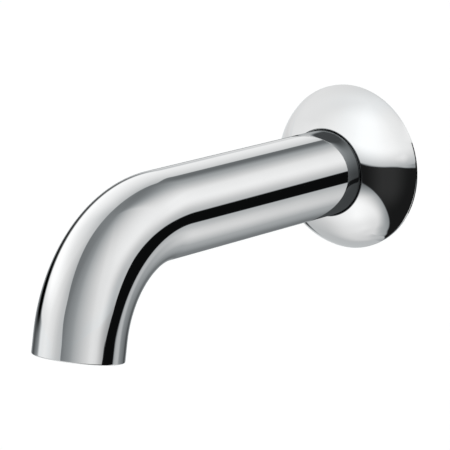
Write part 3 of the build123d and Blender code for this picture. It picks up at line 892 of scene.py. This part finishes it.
def studio_floor():
    """Pale floor well below the spout: white to the camera, with a soft shadow, and sheer from below."""
    half = FLOOR_SIDE / 2
    mesh = bpy.data.meshes.new("floor")
    corners = [(-half, -half), (half, -half), (half, half), (-half, half)]
    mesh.from_pydata([(x, y, -FLOOR_DROP) for x, y in corners], [], [(0, 1, 2, 3)])
    floor = placed("floor", mesh)
    g, surface = stage_finish(mesh, "pale_floor")
    paint = g.add("ShaderNodeBsdfDiffuse", {"Color": FLOOR_PAINT})
    glow = g.add("ShaderNodeEmission", {"Strength": FLOOR_LIFT})
    both = g.add("ShaderNodeAddShader")
    g.feed(both.inputs[0], paint.outputs["BSDF"])
    g.feed(both.inputs[1], glow.outputs["Emission"])
    from_below = g.add("ShaderNodeMixShader", {"Fac": g.add("ShaderNodeNewGeometry").outputs["Backfacing"]})
    g.feed(from_below.inputs[1], both.outputs["Shader"])
    g.feed(from_below.inputs[2], g.add("ShaderNodeBsdfTransparent").outputs["BSDF"])
    g.feed(surface, from_below.outputs["Shader"])
    floor.visible_glossy = False


def front_glow(g, ray):
    """Level and colour of what the room lacks of the even white that the flange shows."""
    azimuth, elevation = angles(g, ray)
    white = g.blend(g.step(elevation, 55.0, 95.0), g.ring(azimuth, FRONT_FILL), FRONT_FILL_ABOVE)
    dusk = g.step(azimuth, -60.0, -95.0, *FRONT_FILL_DUSK)
    white = g.times(white, g.step(elevation, -8.0, 25.0, dusk, 1.0))
    middle = g.times(g.span(azimuth, 12.0, 48.0, 58.0, 95.0), g.step(elevation, -62.0, -22.0))
    board = g.blend(middle, *BOARD_SHEEN)
    floor = g.step(elevation, *LEFT_FLOOR_FILL)
    floor = g.times(floor, g.minus(1.0, corner_shade(g, azimuth, elevation)))
    low = g.blend(g.span(azimuth, -171.0, -159.0, -100.0, -60.0), board, floor)
    wanted = g.blend(g.step(elevation, *FRONT_FILL_EDGE), low, white)
    return g.math("MAXIMUM", g.minus(wanted, room_level(g, ray)), 0.0), (*WHITE, 1.0)


def left_glow(g, ray):
    """Level and colour of a soft lamp at the left, and of the walls carried down in front of the board."""
    azimuth, elevation = angles(g, ray)
    lamp = g.step(g.dot(ray, heading(*LAMP_HEADING)), 0.5, 1.0, 0.0, LAMP_LEVEL)
    lamp = g.times(lamp, g.step(elevation, 3.0, 16.0), g.step(elevation, 20.0, 44.0, 1.0, 0.72))
    foot = g.ring(azimuth, TUBE_FILL_FOOT, 30.0)
    front = g.times(
        g.span(azimuth, -82.0, -70.0, 111.5, 112.5),
        g.above(elevation, foot, BOARD_BLURS[0]),
        g.step(elevation, 40.0, 30.0),
    )
    dusk = g.times(g.step(elevation, 8.0, -8.0), g.step(azimuth, 68.0, 96.0))
    front = g.dimmed(front, dusk, TUBE_FILL_DUSK)
    walls = room_walls(g, ray, azimuth, elevation)
    lack = g.math("MAXIMUM", g.minus(walls, room_level(g, ray)), 0.0)
    return g.plus(g.times(front, lack), lamp), shade_tint(g, walls)


def joint_shade():
    """Painted shade: a dark line behind the flange's rim that only the chrome shows, a black card standing
    for the shade a wall there would give.
    """
    turns = [math.radians(a) for a in range(*JOINT_ARC)]
    mesh = bpy.data.meshes.new("joint_shade")
    points = []
    for radius in JOINT_RADII:
        points += [(radius * MM * math.sin(t), JOINT_GAP * MM, radius * MM * math.cos(t)) for t in turns]
    count = len(turns)
    mesh.from_pydata(points, [], [(i, i + 1, count + i + 1, count + i) for i in range(count - 1)])
    g, surface = stage_finish(mesh, "joint_shade")
    g.feed(surface, g.add("ShaderNodeBsdfDiffuse", {"Color": PAINTED_JOINT_SHADE}).outputs["BSDF"])
    shade = placed("joint_shade", mesh)
    only_mirrored(shade)


def light_sheet(name, radius, glow, taker):
    """A sheer lit dome round the spout, whose glow only one piece takes up."""
    mesh = bpy.data.meshes.new(name)
    shell = bmesh.new()
    around, upwards = SHEET_STEPS
    bmesh.ops.create_uvsphere(shell, u_segments=around, v_segments=upwards, radius=radius)
    shell.to_mesh(mesh)
    shell.free()
    sheet = placed(name, mesh)
    g, surface = stage_finish(mesh, name)
    ray = g.add("ShaderNodeVectorMath", operation="NORMALIZE")
    g.feed(ray.inputs[0], g.add("ShaderNodeTexCoord").outputs["Object"])
    level, colour = glow(g, ray.outputs["Vector"])
    level = g.times(level, g.minus(1.0, mirrored_twice(g)))
    lit = g.add("ShaderNodeEmission", {"Strength": level, "Color": colour})
    both = g.add("ShaderNodeAddShader")
    g.feed(both.inputs[0], g.add("ShaderNodeBsdfTransparent").outputs["BSDF"])
    g.feed(both.inputs[1], lit.outputs["Emission"])
    g.feed(surface, both.outputs["Shader"])
    only_mirrored(sheet)
    takers = bpy.data.collections.new(name + "_takers")
    takers.objects.link(taker)
    sheet.light_linking.receiver_collection = takers


def photo_camera():
    """Camera at the photograph's angle."""
    back = heading(CAMERA_AZIMUTH, CAMERA_ELEVATION)
    right = Vector((0.0, 0.0, 1.0)).cross(back).normalized()
    up = back.cross(right)
    place = CAMERA_AIM + CAMERA_ASIDE * right + CAMERA_ABOVE * up + CAMERA_DISTANCE * back
    roll = math.radians(CAMERA_ROLL)
    across = math.cos(roll) * right + math.sin(roll) * up
    upright = math.cos(roll) * up - math.sin(roll) * right
    data = bpy.data.cameras.new("photo_camera")
    data.sensor_fit = "HORIZONTAL"
    data.sensor_width = CAMERA_SENSOR
    data.lens = CAMERA_LENS
    data.clip_start = CAMERA_NEAR
    camera = bpy.data.objects.new("photo_camera", data)
    turn = Matrix((across, upright, back)).transposed().to_4x4()
    camera.matrix_world = Matrix.Translation(place) @ turn
    bpy.context.scene.collection.objects.link(camera)
    bpy.context.scene.camera = camera


chrome = polished_chrome()
brass = turned_brass()
steel = plain_steel()
rubber = matt_moulding(
    "black_rubber", (0.018, 0.018, 0.018), (0.042, 0.042, 0.042), grain=2500.0, roughness=0.72, depth=6e-6
)
grey_plastic = matt_moulding(
    "grey_plastic", (0.33, 0.34, 0.36), (0.39, 0.40, 0.42), grain=1800.0, roughness=0.42, depth=4e-6
)
white_plastic = matt_moulding(
    "white_plastic", (0.78, 0.79, 0.79), (0.85, 0.86, 0.86), grain=1800.0, roughness=0.38, depth=4e-6
)
carried_over = {
    "inlet_socket": brass,
    "grub_screw": steel,
    "strainer_screen": steel,
    "flange_grip_ring": rubber,
    "wall_seal": rubber,
    "rear_o_ring": rubber,
    "front_o_ring": rubber,
    "aerator_washer": rubber,
    "aerator_housing": grey_plastic,
    "jet_plate": grey_plastic,
}
for name, material in carried_over.items():
    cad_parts[name].data.materials[0] = material

turning = turned_tree()
tube = chromed_tube(chrome)
flange = chromed_flange(turning, chrome)
brass_nipple(turning, brass)
eased_copy("eased_collar", "outlet_collar", chrome)
eased_copy("eased_honeycomb", "flow_straightener", white_plastic)

studio_world()
studio_floor()
joint_shade()
light_sheet("front_sheet", SHEET_RADII[0], front_glow, flange)
light_sheet("left_sheet", SHEET_RADII[1], left_glow, tube)
photo_camera()
bpy.context.scene.view_settings.view_transform = "Standard"
